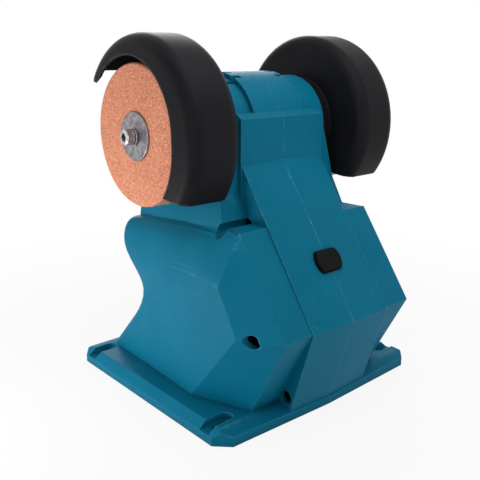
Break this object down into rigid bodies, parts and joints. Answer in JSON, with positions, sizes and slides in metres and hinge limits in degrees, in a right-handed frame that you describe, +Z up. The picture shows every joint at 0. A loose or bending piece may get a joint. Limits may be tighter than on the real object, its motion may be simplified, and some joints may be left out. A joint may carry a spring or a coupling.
{
  "type": "mini bench grinder",
  "caption": "Small bench grinder with a faceted teal housing on a slotted base plate, guarded grinding and polishing wheels on one spindle, and a push button on the slanted rear panel.",
  "frame": {"origin": "centre of the base plate's four bench slots, on the underside that rests on the bench", "axes": "+X along the wheel spindle toward the polishing wheel, +Y toward the open front of the guards, +Z up"},
  "size_m": [0.166, 0.1652, 0.2039],
  "materials": {
    "housing": "fine moulded texture, satin",
    "guard": "satin black",
    "abrasive": "coarse bonded grit",
    "felt": "pressed felt",
    "zinc": "bright zinc plate",
    "steel": "ground steel",
    "black_steel": "blackened steel",
    "can_steel": "plated sheet steel",
    "black_plastic": "moulded black",
    "white_plastic": "natural moulding",
    "magnet": "sintered, dull",
    "copper": "enamelled copper",
    "brass": "plain brass",
    "carbon": "pressed carbon",
    "wire": "smooth insulation"
  },
  "bodies": {
    "stand": {"housing_left": "housing", "housing_right": "housing", "housing_screws": "black_steel", "guard_left": "guard", "guard_right": "guard", "guard_screws": "black_steel", "motor_can": "can_steel", "motor_end_left": "black_plastic", "motor_end_right": "black_plastic", "magnets": "magnet", "bearing_left": "steel", "bearing_right": "steel", "brush_holders": "brass", "brushes": "carbon", "power_switch": "black_plastic", "dc_inlet": "black_plastic", "lead_wires": "wire"},
    "rotor": {"spindle": "steel", "armature_core": "can_steel", "windings": "copper", "commutator": "copper", "cooling_fan": "white_plastic", "arbor_left": "steel", "arbor_right": "steel", "grinding_wheel": "abrasive", "polishing_wheel": "felt", "flange_left": "zinc", "flange_right": "zinc", "lock_washer_left": "zinc", "lock_washer_right": "zinc", "wheel_screw_left": "zinc", "wheel_screw_right": "zinc"},
    "button": {"power_button": "black_plastic", "switch_plunger": "white_plastic"}
  },
  "joints": [
    {"name": "spindle_spin", "type": "hinge", "parent": "stand", "child": "rotor", "pos_m": [0, 0, 0.1515], "axis": [1, 0, 0], "continuous": true},
    {"name": "button_press", "type": "slide", "parent": "stand", "child": "button", "axis": [0, 0.8216, -0.5701], "range_m": [0, 0.0024], "stiffness_N_per_m": 600, "springref_m": -0.001}
  ]
}
